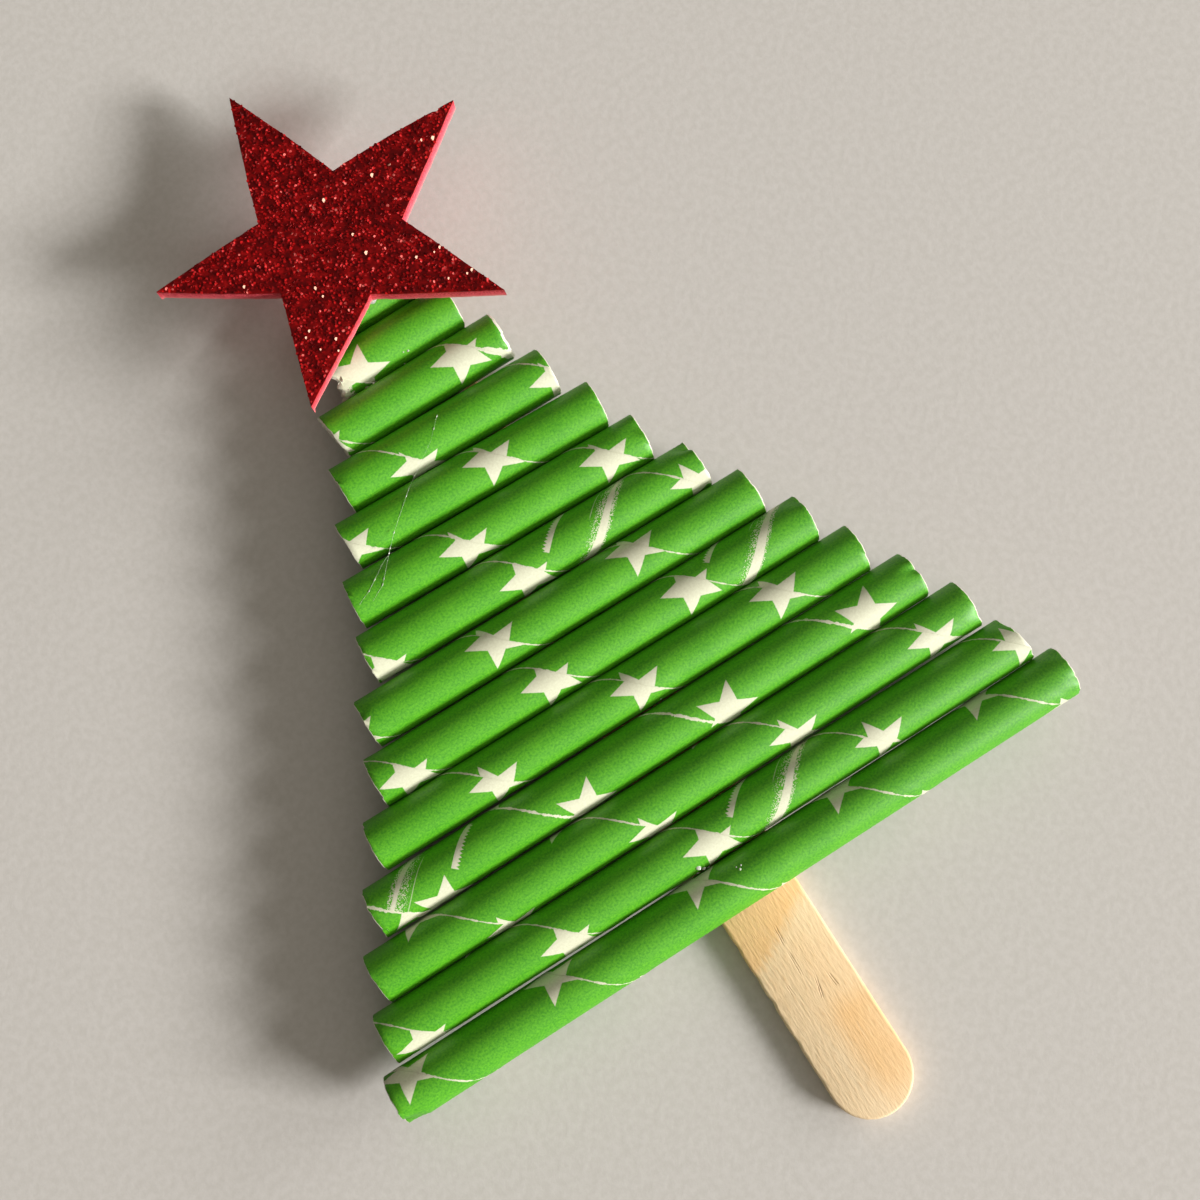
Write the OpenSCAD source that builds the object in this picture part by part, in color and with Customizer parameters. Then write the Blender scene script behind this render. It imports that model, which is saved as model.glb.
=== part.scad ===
// Paper straw christmas tree.
// Printed paper straws are glued side by side across a craft stick, each shorter than the one
// below it, and a glitter foam star is glued over the top ones. The stick is the trunk.
// The tree lies on its back: +Z points up out of its front, +Y runs from the trunk to the star,
// and +X is to the right. The origin is on the stick's back face, on its centreline, level with
// the lower edge of the bottom straw.

/* [Straws] */
// Number of straws in the stack
straw_count = 14; // [4:1:20]
// Outside diameter of a straw
straw_d = 6; // [5:0.1:8]
// Thickness of a straw's rolled paper wall
straw_wall = 0.45; // [0.3:0.05:0.8]
// Length of the bottom straw
base_length = 89; // [70:1:120]
// Length of the top straw
top_length = 10.8; // [9:0.1:16]
// Clear gap between neighbouring straws where they lie closest
straw_gap = 0.02; // [0.01:0.01:0.3]
// How far the stack sits to the left of the stick's centreline
stack_shift = 1.2; // [0:0.1:3]

/* [Craft stick] */
// Width of the stick
stick_width = 10; // [8:0.5:20]
// Thickness of the stick
stick_thickness = 2; // [1.5:0.1:3]
// Radius of the tumbled edges of the stick
stick_edge = 0.3; // [0.1:0.05:0.6]
// Length of stick that shows below the bottom straw
stick_tail = 28; // [15:0.5:60]
// How far the stick runs on past the top straw, behind the star
stick_head = 0.2; // [0:0.1:10]

/* [Hot glue] */
// Thickness of the glue film under a straw
glue_film = 0.1; // [0.05:0.05:0.4]
// Spread of a dab of glue on the stick
glue_spread = 7; // [4:0.1:7.5]
// How far the glue climbs between two straws
glue_rise = 1.6; // [0.6:0.1:2]
// Width that each dab leaves free beside its straw
glue_side_gap = 0.2; // [0.1:0.05:1]
// Spread of the glue under the star
star_glue_spread = 4.8; // [3:0.1:5.5]

/* [Star] */
// Distance from the star's centre to its tips
star_tip_r = 22; // [14:0.1:30]
// Distance from the star's centre to its notches
star_notch_r = 8.6; // [5:0.1:11]
// How far the star's centre lies above the top straw
star_rise = 3.8; // [1:0.1:5]
// Lean of the star over the top straw, its upper part down towards the table, in degrees
star_droop = 9; // [0:0.5:12]
// Thickness of the foam
foam_thickness = 1.8; // [1:0.1:4]
// Thickness of the glitter layer on the foam
glitter_thickness = 0.2; // [0.1:0.05:0.4]

/* [Hand work] */
// Share of the unevenness of hand cutting and laying that is kept, with 0 for a perfectly even tree
hand_made = 1; // [0:0.1:1]

/* [Hidden] */
$fn = 64;
star_points = 5;
star_pitch = 360 / star_points;

// Uneven cutting and laying of the straws, from the bottom one up:
// extra length, slip to the right, and lean in degrees
straw_cut = [0, 0.7, 1.9, 1.1, -0.4, -1.2, -1.2, -2.6, -2.2, -1.5, -1, 0.3, 0, 0];
straw_slip = [0, -0.2, 0, 0, 0.2, 0.5, 0.1, 0.2, -0.6, -0.3, -0.3, -0.2, 0, 0.3];
straw_tilt = [-0.2, -0.4, -0.2, -0.4, -0.7, -0.7, -0.9, -1.3, -1.7, -2.1, -1.4, -0.1, 0.2, 0];

// Uneven cutting of the star, from the top tip and the notch to its left on round to the left:
// extra reach, and turn in degrees
tip_cut = [1.3, -1, -0.7, 0, 0.6];
tip_turn = [2.1, 2.6, 1.2, 1.8, 0.5];
notch_cut = [-0.1, -0.1, 0, 0, 0];
notch_turn = [7.5, 2, 3.2, -1, 3.3];
star_slip = 0.2;

function uneven(list, i) = hand_made * (i < len(list) ? list[i] : 0);

// Places of the straws
straw_z = stick_thickness + glue_film + straw_d / 2;
function straw_length(i) =
    base_length - (base_length - top_length) * i / (straw_count - 1) + uneven(straw_cut, i);
function straw_x(i) = uneven(straw_slip, i) - stack_shift;
function straw_lean(i) = uneven(straw_tilt, i);
// How far straw i has climbed at x, measured from its own middle
function straw_climb(i, x) = (x - straw_x(i)) * tan(straw_lean(i));
// The two ends of straw i
function straw_ends(i) =
    [for (side = [-1, 1]) straw_x(i) + side * straw_length(i) / 2 * cos(straw_lean(i))];
// Rise from the straw below to straw i, so that the nearer end of the two just clears it
function straw_step(i) =
    (straw_d + straw_gap) / cos(straw_lean(i - 1))
    + max([for (x = straw_ends(i)) straw_climb(i - 1, x) - straw_climb(i, x)]);
function straw_y(i) = i == 0 ? straw_d / 2 : straw_y(i - 1) + straw_step(i);

// Places of the stick and the star
top_straw = straw_count - 1;
stack_top = straw_y(top_straw) + straw_d / 2;
stick_length = stick_tail + stack_top + stick_head;
star_x = hand_made * star_slip - stack_shift;
// Height of the star's back over the middle of the top straw
star_height = straw_d / 2 + glue_film;

function polar(r, angle) = [r * cos(angle), r * sin(angle)];
function star_tip(k) = polar(star_tip_r + uneven(tip_cut, k), 90 + k * star_pitch + uneven(tip_turn, k));
function star_notch(k) =
    polar(star_notch_r + uneven(notch_cut, k), 90 + (k + 0.5) * star_pitch + uneven(notch_turn, k));

function two_digits(i) = str(i < 10 ? "0" : "", i);
function straw_name(i) = str("straw_", two_digits(i + 1));
function dab_name(i) = str("glue_dab_", two_digits(i + 1));

// A solid rod along straw i, turned and placed as the straw is
module straw_rod(i, diameter, length) {
    translate([straw_x(i), straw_y(i), straw_z])
        rotate([0, 90, straw_lean(i)])
            cylinder(h = length, d = diameter, center = true);
}

// A straw: a tube of spirally rolled paper, open at both ends
module straw(i) {
    bore_d = straw_d - 2 * straw_wall;
    past_ends = 1;
    color([0.24, 0.6, 0.15])
        difference() {
            straw_rod(i, straw_d, straw_length(i));
            straw_rod(i, bore_d, straw_length(i) + 2 * past_ends);
        }
}

// A dab of glue between the stick and straw i, squeezed out until it meets its neighbours
module glue_dab(i) {
    dab_width = straw_d - glue_side_gap;
    dab_height = glue_film + glue_rise;
    color([0.93, 0.92, 0.86])
        difference() {
            translate([0, straw_y(i) + straw_climb(i, 0), stick_thickness])
                rotate([0, 0, straw_lean(i)])
                    intersection() {
                        cylinder(h = dab_height, d = glue_spread);
                        translate([-glue_spread / 2, -dab_width / 2, 0])
                            cube([glue_spread, dab_width, dab_height]);
                    }
            straw_rod(i, straw_d, straw_length(i));
        }
}

// Cross-section of the stick with its tumbled edges, standing on its back
module stick_section() {
    half = stick_width / 2;
    flat = half - stick_edge;
    translate([-flat, 0])
        square([2 * flat, stick_thickness]);
    translate([-half, stick_edge])
        square([stick_width, stick_thickness - 2 * stick_edge]);
    for (x = [-flat, flat], y = [stick_edge, stick_thickness - stick_edge])
        translate([x, y])
            circle(r = stick_edge);
}

// The craft stick: a flat strip of birch with two round ends
module craft_stick() {
    half = stick_width / 2;
    low_end = half - stick_tail;
    straight = stick_length - stick_width;
    color([0.89, 0.72, 0.48]) {
        translate([0, low_end, 0])
            rotate([90, 0, 180])
                linear_extrude(straight)
                    stick_section();
        for (end = [low_end, low_end + straight])
            translate([0, end, 0])
                rotate_extrude()
                    intersection() {
                        stick_section();
                        square([half, stick_thickness]);
                    }
    }
}

// Outline of the star, tip and notch by turns
module star_outline() {
    polygon([
        for (k = [0 : star_points - 1], corner = [star_tip(k), star_notch(k)])
            corner
    ]);
}

// Leans a piece with the star, which tips over the top straw, at a height over the straw's middle
module lean_with_star(height) {
    translate([star_x, straw_y(top_straw), straw_z])
        rotate([-star_droop, 0, 0])
            translate([0, 0, height])
                children();
}

// A slice of the star, from a height above its back
module star_slice(bottom, thickness) {
    lean_with_star(star_height + bottom)
        translate([0, straw_d / 2 + star_rise, 0])
            linear_extrude(thickness)
                star_outline();
}

// The star's foam core
module star_foam() {
    color([0.86, 0.16, 0.24])
        star_slice(0, foam_thickness);
}

// The glitter layer on the front of the foam
module star_glitter() {
    color([0.55, 0.03, 0.06])
        star_slice(foam_thickness, glitter_thickness);
}

// The glue between the top straw and the back of the star
module star_glue() {
    glue_height = glue_film + glue_rise;
    color([0.93, 0.92, 0.86])
        difference() {
            lean_with_star(star_height - glue_height)
                cylinder(h = glue_height, d = star_glue_spread);
            straw_rod(top_straw, straw_d, straw_length(top_straw));
        }
}

craft_stick();
for (i = [0 : top_straw]) {
    straw(i);
    glue_dab(i);
}
star_foam();
star_glitter();
star_glue();
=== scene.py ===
import math

import bpy
from mathutils import Matrix, Vector, noise


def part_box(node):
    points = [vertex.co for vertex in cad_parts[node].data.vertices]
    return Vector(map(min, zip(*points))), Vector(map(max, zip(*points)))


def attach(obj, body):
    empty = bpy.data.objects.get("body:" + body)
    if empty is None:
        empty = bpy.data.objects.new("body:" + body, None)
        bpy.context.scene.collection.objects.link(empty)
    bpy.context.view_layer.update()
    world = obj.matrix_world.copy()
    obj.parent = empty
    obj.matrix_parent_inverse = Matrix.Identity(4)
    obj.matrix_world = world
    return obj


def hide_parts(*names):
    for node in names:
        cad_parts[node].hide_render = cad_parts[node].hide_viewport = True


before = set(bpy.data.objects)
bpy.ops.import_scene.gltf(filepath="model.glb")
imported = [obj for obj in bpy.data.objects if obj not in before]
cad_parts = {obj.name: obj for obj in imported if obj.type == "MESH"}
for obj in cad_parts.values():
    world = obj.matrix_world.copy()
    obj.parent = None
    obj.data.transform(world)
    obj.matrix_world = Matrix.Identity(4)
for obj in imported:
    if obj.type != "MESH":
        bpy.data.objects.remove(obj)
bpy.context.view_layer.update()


# The trunk: one flat craft stick of birch veneer, stamped out with two round ends and tumbled smooth.
# Its left edge kept a few torn fibres, and its face shows fine lengthwise grain with short checks.
MM = 0.001
stick_low, stick_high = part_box("craft_stick")
stick_half = (stick_high.x - stick_low.x) / 2
stick_thickness = stick_high.z - stick_low.z
stick_lower_middle = stick_low.y + stick_half
stick_straight = stick_high.y - stick_low.y - 2 * stick_half
stick_edge = 0.34 * MM
# tears in the left edge, in mm: lower end along the stick, depth and length
torn_places = ((-8.3, 0.36, 0.9), (-16.6, 0.36, 0.9), (-10.9, 0.2, 0.8), (-4.0, 0.2, 0.8), (-21.5, 0.1, 0.8))
left_edge = 0.2 - stick_half / MM


def clear_selection():
    if bpy.context.object and bpy.context.object.mode == "EDIT":
        bpy.ops.object.mode_set(mode="OBJECT")
    bpy.ops.object.select_all(action="DESELECT")


def keep_place():
    """Puts the place and the turn of a piece into its mesh."""
    bpy.ops.object.transform_apply(location=True, rotation=True, scale=True)


def pick(piece, test, kind="VERT"):
    """Leaves the piece in edit mode with only the vertices, edges or faces that pass the test selected."""
    bpy.ops.object.mode_set(mode="EDIT")
    bpy.ops.mesh.select_mode(type=kind)
    bpy.ops.mesh.select_all(action="DESELECT")
    bpy.ops.object.mode_set(mode="OBJECT")
    parts = {"VERT": piece.data.vertices, "EDGE": piece.data.edges, "FACE": piece.data.polygons}[kind]
    for part in parts:
        part.select = test(part)
    bpy.ops.object.mode_set(mode="EDIT")


def span(piece, edge):
    """From one end of an edge to the other."""
    first, second = (piece.data.vertices[k].co for k in edge.vertices)
    return second - first


def thicken(piece, rise):
    """Draws a flat piece out along Z into a closed slab."""
    pick(piece, lambda face: True, "FACE")
    bpy.ops.mesh.extrude_region_move(TRANSFORM_OT_translate={"value": (0, 0, rise)})
    bpy.ops.mesh.select_all(action="SELECT")
    bpy.ops.mesh.normals_make_consistent(inside=False)
    bpy.ops.object.mode_set(mode="OBJECT")


def put(tree, kind, inputs=None, **settings):
    """Adds a node with its settings, and with each input joined to a socket or set to a value."""
    new = tree.nodes.new(kind)
    for name, value in settings.items():
        setattr(new, name, value)
    for name, value in (inputs or {}).items():
        if isinstance(value, bpy.types.NodeSocket):
            tree.links.new(value, new.inputs[name])
        else:
            new.inputs[name].default_value = value
    return new


def calc(tree, operation, *values):
    return put(tree, "ShaderNodeMath", dict(enumerate(values)), operation=operation).outputs[0]


def fade(tree, value, low, high, to_low=0.0, to_high=1.0):
    """Runs from to_low to to_high while the value goes from low to high."""
    spread = {"Value": value, "From Min": low, "From Max": high, "To Min": to_low, "To Max": to_high}
    return put(tree, "ShaderNodeMapRange", spread, interpolation_type="SMOOTHSTEP").outputs["Result"]


def blend(tree, share, first, second):
    return put(tree, "ShaderNodeMix", {0: share, 6: first, 7: second}, data_type="RGBA").outputs[2]


def speckle(tree, place, scale, detail=2.0, rough=0.5, stretch=(1, 1, 1)):
    spread = put(tree, "ShaderNodeMapping", {"Vector": place, "Scale": stretch}).outputs[0]
    wanted = {"Vector": spread, "Scale": scale, "Detail": detail, "Roughness": rough}
    return put(tree, "ShaderNodeTexNoise", wanted).outputs[0]


def bump(tree, height, strength, depth):
    relief = {"Strength": strength, "Distance": depth, "Height": height}
    return put(tree, "ShaderNodeBump", relief).outputs[0]


def paint(red, green, blue):
    """A colour as a colour card reads it, from 0 to 255, made linear."""
    shares = (red / 255, green / 255, blue / 255)
    linear = [((share + 0.055) / 1.055) ** 2.4 if share > 0.04 else share / 12.92 for share in shares]
    return (*linear, 1)


def new_finish(name):
    finish = bpy.data.materials.new(name)
    finish.use_nodes = True
    finish.node_tree.nodes.clear()
    return finish, finish.node_tree


def place_on_piece(tree):
    return put(tree, "ShaderNodeTexCoord").outputs["Object"]


def close_finish(tree, values):
    """Ends a finish with its shader, and with the patterns and values that the shader takes."""
    shader = put(tree, "ShaderNodeBsdfPrincipled", values)
    put(tree, "ShaderNodeOutputMaterial", {"Surface": shader.outputs[0]})


clear_selection()
bpy.ops.mesh.primitive_circle_add(
    vertices=128, radius=stick_half, fill_type="NGON", location=(0, stick_lower_middle, stick_low.z)
)
stick = bpy.context.object
stick.name = "craft_stick_birch"
keep_place()
pick(stick, lambda corner: corner.co.y > stick_lower_middle - 0.01 * MM)
bpy.ops.transform.translate(value=(0, stick_straight, 0))
pick(stick, lambda edge: abs(span(stick, edge).y) > stick_straight / 2, "EDGE")
bpy.ops.mesh.subdivide(number_cuts=259)
bpy.ops.object.mode_set(mode="OBJECT")
for corner in stick.data.vertices:
    x, y = corner.co.x / MM, corner.co.y / MM
    ragged = 0.05 if x < 0 else 0.025
    shift = ragged * noise.noise((x, 1.1 * y, 3.0)) + 0.5 * ragged * noise.noise((x, 3.7 * y, 8.0))
    if x < left_edge:
        shift += sum(depth * (1 - (y - at) / wide) for at, depth, wide in torn_places if 0 < y - at < wide)
    corner.co.x += shift * MM
thicken(stick, stick_thickness)
pick(stick, lambda edge: abs(span(stick, edge).z) < 0.1 * MM, "EDGE")
bpy.ops.mesh.bevel(offset=stick_edge, segments=4, affect="EDGES", clamp_overlap=False)
broad_face = 100 * MM * MM
pick(stick, lambda face: abs(face.normal.z) > 0.99 and face.area > broad_face, "FACE")
bpy.ops.mesh.inset(thickness=0.12 * MM)
bpy.ops.object.mode_set(mode="OBJECT")
bpy.ops.object.shade_smooth_by_angle(angle=math.radians(40))

birch, tree = new_finish("birch")
place = place_on_piece(tree)
fibre = speckle(tree, place, 2600, 5, 0.62, (1, 0.05, 1))
streak = speckle(tree, place, 700, 3, 0.55, (1, 0.035, 1))
cloud = speckle(tree, place, 95, 3, 0.5, (1, 0.45, 1))
dash = speckle(tree, place, 3600, 3, 0.6, (1, 0.2, 1))
parts = put(tree, "ShaderNodeSeparateXYZ", {"Vector": place})
across, along = parts.outputs["X"], parts.outputs["Y"]
# the wood is darker in a slanting zone next to the straws, and low down on its right side
slant = calc(tree, "MULTIPLY_ADD", across, -0.55, along)
near_straws = fade(tree, calc(tree, "MULTIPLY_ADD", dash, 2.0 * MM, slant), -4.9 * MM, -2.7 * MM)
right_side = fade(tree, calc(tree, "MULTIPLY_ADD", dash, 1.6 * MM, across), -2.0 * MM, 2.6 * MM)
low_down = fade(tree, calc(tree, "MULTIPLY_ADD", dash, 2.0 * MM, along), -11.8 * MM, -15.6 * MM)
above_end = fade(tree, along, -29 * MM, -24 * MM)
lower = calc(tree, "MULTIPLY", right_side, calc(tree, "MULTIPLY", low_down, above_end))
ripe = calc(tree, "MAXIMUM", calc(tree, "MULTIPLY", near_straws, 0.8), calc(tree, "MULTIPLY", lower, 0.5))
ripe = calc(tree, "ADD", ripe, fade(tree, cloud, 0.35, 0.75, -0.15, 0.35))
ripe = put(tree, "ShaderNodeClamp", {"Value": ripe}).outputs[0]
wood = blend(tree, ripe, paint(239, 212, 171), paint(237, 188, 124))
wood = blend(tree, fade(tree, streak, 0.35, 0.72, 0, 0.22), wood, paint(235, 197, 145))
wood = blend(tree, fade(tree, dash, 0.52, 0.78, 0, 0.38), wood, paint(220, 172, 114))
wood = blend(tree, fade(tree, fibre, 0.42, 0.22, 0, 0.28), wood, paint(248, 226, 188))


def crack(upper_x, upper_y, lower_x, lower_y):
    """A thin split in the veneer between two points in mm, widest in its middle."""
    lean = (upper_x - lower_x) / (upper_y - lower_y)
    line = calc(tree, "MULTIPLY_ADD", calc(tree, "SUBTRACT", along, lower_y * MM), -lean, across)
    line = calc(tree, "ABSOLUTE", calc(tree, "SUBTRACT", line, (lower_x - 0.12) * MM))
    line = calc(tree, "ABSOLUTE", calc(tree, "MULTIPLY_ADD", dash, -0.25 * MM, line))
    middle, half = (upper_y + lower_y) / 2 * MM, abs(upper_y - lower_y) / 2 * MM
    reach = fade(tree, calc(tree, "ABSOLUTE", calc(tree, "SUBTRACT", along, middle)), half, 0.4 * half)
    return calc(tree, "MULTIPLY", reach, fade(tree, line, 0.07 * MM, 0.02 * MM))


# the deepest check, and fainter ones: upper and lower end in mm, and strength
check = crack(0.05, -3.5, -0.15, -6.3)
fainter_checks = (
    (0.95, -10.6, 0.2, -13.6, 0.85), (-0.2, -6.6, -0.3, -10.4, 0.45),
    (2.3, -11.2, 2.5, -13.2, 0.85), (-2.4, -9.8, -2.3, -11.6, 0.45),
)
for *ends, strength in fainter_checks:
    check = calc(tree, "MAXIMUM", check, calc(tree, "MULTIPLY", crack(*ends), strength))
wood = blend(tree, calc(tree, "MULTIPLY", check, 0.6), wood, paint(150, 104, 60))
height = calc(tree, "MULTIPLY_ADD", dash, 1.3, calc(tree, "MULTIPLY", fibre, 0.5))
height = calc(tree, "MULTIPLY_ADD", check, -1.2, height)
close_finish(tree, {
    "Base Color": wood, "Roughness": fade(tree, fibre, 0.3, 0.7, 0.52, 0.68),
    "Normal": bump(tree, height, 0.5, 0.10 * MM)})
stick.data.materials.append(birch)
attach(stick, "root")
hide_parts("craft_stick")


# Hot glue: a dab between the stick and each straw, squeezed flat under the straw and up into the grooves.
# It set clear and slightly milky, and only its rounded rims show from the side.
straw_radius = 3.0 * MM
# lean of each straw in degrees, from the bottom one up
straw_lean = (-0.2, -0.4, -0.2, -0.4, -0.7, -0.7, -0.9, -1.3, -1.7, -2.1, -1.4, -0.1, 0.2, 0.0)
straw_numbers = range(1, len(straw_lean) + 1)
# the room between two pieces that touch
touching = 0.01 * MM


def straw_middle(number):
    low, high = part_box(f"straw_{number:02d}")
    return (low + high) / 2


glue, tree = new_finish("hot_glue")
place = place_on_piece(tree)
milk = speckle(tree, place, 900, 3)
bubbles = speckle(tree, place, 3200, 2)
close_finish(tree, {
    "Base Color": blend(tree, fade(tree, milk, 0.35, 0.65), paint(238, 236, 224), paint(252, 251, 244)),
    "Roughness": fade(tree, bubbles, 0.35, 0.7, 0.06, 0.16), "IOR": 1.45, "Transmission Weight": 0.93,
    "Normal": bump(tree, milk, 0.3, 0.06 * MM)})

for number in straw_numbers:
    name = f"glue_dab_{number:02d}"
    low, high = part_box(name)
    half_x, half_y, base = (high.x - low.x) / 2, (high.y - low.y) / 2, low.z
    straw_underside = straw_middle(number).z - straw_radius - touching
    clear_selection()
    bpy.ops.mesh.primitive_cube_add(size=2, location=(0, 0, 0))
    dab = bpy.context.object
    dab.name = name + "_squeezed"
    bpy.ops.object.mode_set(mode="EDIT")
    bpy.ops.mesh.subdivide(number_cuts=14)
    bpy.ops.object.mode_set(mode="OBJECT")
    for corner in dab.data.vertices:
        u, v, w = corner.co
        swell = 1 + 0.05 * (1 - w * w) + 0.05 * noise.noise((3 * u, 3 * v, 7.0 * number))
        x = half_x * u * math.sqrt(1 - 0.42 * v * v) * swell
        y = half_y * v * math.sqrt(1 - 0.06 * u * u)
        under = straw_radius - math.sqrt(straw_radius ** 2 - y * y)
        rim = (high.z - base) * (1 - 0.75 * u ** 4)
        top = min(straw_underside + under, base + rim)
        corner.co = (x, y, base + (w + 1) / 2 * (top - base))
    dab.location = ((low.x + high.x) / 2, (low.y + high.y) / 2, 0)
    dab.rotation_euler = (0, 0, math.radians(straw_lean[number - 1]))
    keep_place()
    bpy.ops.object.shade_smooth_by_angle(angle=math.radians(50))
    dab.data.materials.append(glue)
    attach(dab, "root")
    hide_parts(name)


# The branches: fourteen drinking straws of spirally wound printed paper, snipped to length with scissors.
# The paper strip overlaps itself along one winding seam, and the green ink leaves white stars along it.
straw_round = straw_radius / MM
girth = 2 * math.pi * straw_round
straw_wall = 0.45 * MM
seam_slope = 0.949
seam_cos = 1 / math.hypot(1, seam_slope)
seam_sin = seam_slope * seam_cos
star_pitch = 9.48
# the bottom straw was wound a little steeper, so its stars lie closer along it
steep_seam = {1: 0.982}
close_stars = {1: 9.38}
# the overlapping ply stands proud at the seam, and thins out around the straw, in mm
ply_step = 0.035 * MM
overlap, overlap_fade = 2.2, 0.8
# the paper is wound in steps, with points round it, a slit at the seam and a spare length at each end
wind_step = 0.6 * MM
ring_points = 72
seam_slit = 0.012
spare_length = 4 * MM
# stands for a place past every straw's end
far_off = 999
# for each straw, in mm: a star's place along and around, the seam beside it, the way round,
# where the print starts afresh along the strip, and the width of the seam's white edge
printing = (
    (-22.4, 3.05, -0.15, 1, far_off, 0.13),
    (0.4, -1.0, 1.05, 1, 7.85, 0.11),
    (15.0, -2.05, 0.05, 1, far_off, 0.12),
    (-9.5, 2.2, 1.45, -1, 46.65, 0.20),
    (2.75, -0.2, -0.2, 1, far_off, 0.11),
    (-5.8, -0.65, 0.85, 1, 33.85, 0.10),
    (-8.25, 0.55, -0.05, 1, far_off, 0.10),
    (-1.35, -1.9, 1.15, 1, 7.9, 0.11),
    (-4.3, -1.2, 0.3, 1, far_off, 0.12),
    (3.0, 0.3, 0.15, 1, far_off, 0.12),
    (-4.4, -2.65, 0.5, 1, far_off, 0.11),
    (6.05, -0.2, 1.05, 1, far_off, 0.13),
    (5.2, 2.15, 0.8, -1, far_off, 0.22),
    (0.0, 9.4, 0.0, 1, far_off, 0.10),
)
# where the printed ply is torn off at the left end, and where the seam frays open towards the right end
torn_along = {13: -6.9}
fray_along = {12: 7.6, 4: 33.0}
# left and right cut of each straw: how far the end moves on for each mm towards the tip and the front,
# and the width of its white rim in mm
end_cut = (
    ((0.05, 0.03, 0.08), (0.03, 0.05, 0.10)), ((0.02, 0.04, 0.07), (-0.20, 0.04, 0.08)),
    ((-0.03, 0.02, 0.06), (-0.03, -0.04, 0.11)), ((0.03, 0.03, 0.10), (-0.05, 0.05, 0.09)),
    ((0.04, -0.03, 0.10), (0.03, 0.0, 0.10)), ((0.03, 0.04, 0.10), (0.02, 0.05, 0.08)),
    ((-0.02, 0.03, 0.08), (-0.03, 0.0, 0.12)), ((0.04, 0.03, 0.10), (-0.06, 0.03, 0.09)),
    ((0.03, 0.02, 0.06), (0.02, 0.0, 0.11)), ((-0.06, 0.03, 0.10), (0.03, 0.03, 0.08)),
    ((-0.04, 0.04, 0.06), (-0.02, 0.05, 0.08)), ((-0.14, 0.02, 0.12), (0.02, -0.02, 0.30)),
    ((0.05, 0.0, 0.30), (0.03, 0.04, 0.08)), ((0.02, 0.02, 0.10), (0.03, 0.02, 0.08)),
)
# how far the edge of an end wanders along, in mm, and the ends that were torn rather than cut
clean_cut = 0.05
jagged = {(13, -1): 0.75, (4, -1): 0.2, (8, -1): 0.15, (1, 1): 0.2, (12, -1): 0.15}
# ends pinched by the scissors: straw, side, place around, depth, width around and length along, in mm
pinches = (
    (1, -1, -3.6, 1.0, 2.2, 2.6), (1, 1, -1.0, 0.35, 1.0, 1.6), (1, 1, 2.2, 0.3, 1.2, 1.4),
    (2, -1, -2.6, 0.4, 1.4, 1.6), (2, 1, 2.6, 0.5, 1.6, 1.8), (3, 1, -1.8, 0.3, 1.4, 1.5),
    (4, 1, 0.5, 0.6, 0.8, 1.7), (6, 1, 2.4, 0.4, 1.4, 1.8), (7, -1, 1.6, 0.3, 1.2, 1.4),
    (8, 1, 2.7, 1.0, 1.5, 2.4), (9, 1, 0.9, 0.5, 1.5, 2.6), (10, 1, -0.7, 0.25, 0.5, 0.9),
    (11, -1, 0.9, 0.35, 0.8, 1.2), (12, -1, -1.6, 0.3, 1.0, 1.4), (13, -1, 0.8, 0.6, 1.2, 1.5),
    (13, -1, -2.0, 0.5, 1.0, 1.8),
)

print_inputs = ("Star Along", "Star Around", "Seam Aside", "Way Round", "Gap Along", "Seam Width",
                "Torn Along", "Fray Along", "Seam Slope", "Star Pitch")
star_print = bpy.data.node_groups.new("star_print", "ShaderNodeTree")
star_print.interface.new_socket("Place", in_out="INPUT", socket_type="NodeSocketVector")
for label in print_inputs:
    star_print.interface.new_socket(label, in_out="INPUT", socket_type="NodeSocketFloat")
for label in ("Bare Paper", "Ink Shade"):
    star_print.interface.new_socket(label, in_out="OUTPUT", socket_type="NodeSocketFloat")
tree = star_print
given = tree.nodes.new("NodeGroupInput").outputs
parts = put(tree, "ShaderNodeSeparateXYZ", {"Vector": given["Place"]})
along = calc(tree, "MULTIPLY", parts.outputs["X"], given["Way Round"])
along = calc(tree, "SUBTRACT", along, given["Star Along"])
around = calc(tree, "MULTIPLY", parts.outputs["Y"], given["Way Round"])
around = calc(tree, "SUBTRACT", around, given["Star Around"])
aside = calc(tree, "DIVIDE", given["Seam Aside"], seam_cos)
over_seam = calc(tree, "SUBTRACT", calc(tree, "MULTIPLY_ADD", along, given["Seam Slope"], around), aside)
over_seam = calc(tree, "WRAP", over_seam, girth / 2, -girth / 2)
upper = calc(tree, "GREATER_THAN", over_seam, 0.0)
up_strip = calc(tree, "WRAP", over_seam, girth, 0.0)
down_strip = calc(tree, "DIVIDE", along, seam_cos)
down_strip = calc(tree, "SUBTRACT", down_strip, calc(tree, "MULTIPLY", up_strip, seam_sin))
past_gap = calc(tree, "GREATER_THAN", down_strip, given["Gap Along"])
# the overlap hides a strip of each star, and the print starts afresh past the gap
hidden_along, hidden_around = -0.8, -1.2
restart_along, restart_around = 3.7, -0.85
half_pitch = calc(tree, "MULTIPLY", given["Star Pitch"], 0.5)
back_pitch = calc(tree, "MULTIPLY", given["Star Pitch"], -0.5)
slip_along = calc(tree, "MULTIPLY", upper, hidden_along)
slip_along = calc(tree, "MULTIPLY_ADD", past_gap, restart_along, slip_along)
slip_around = calc(tree, "MULTIPLY", upper, hidden_around)
slip_around = calc(tree, "MULTIPLY_ADD", past_gap, restart_around, slip_around)
from_star = calc(tree, "WRAP", calc(tree, "SUBTRACT", along, slip_along), half_pitch, back_pitch)
seam_drop = calc(tree, "MULTIPLY", calc(tree, "ADD", from_star, slip_along), given["Seam Slope"])
star_line = calc(tree, "ADD", seam_drop, slip_around)
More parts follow.
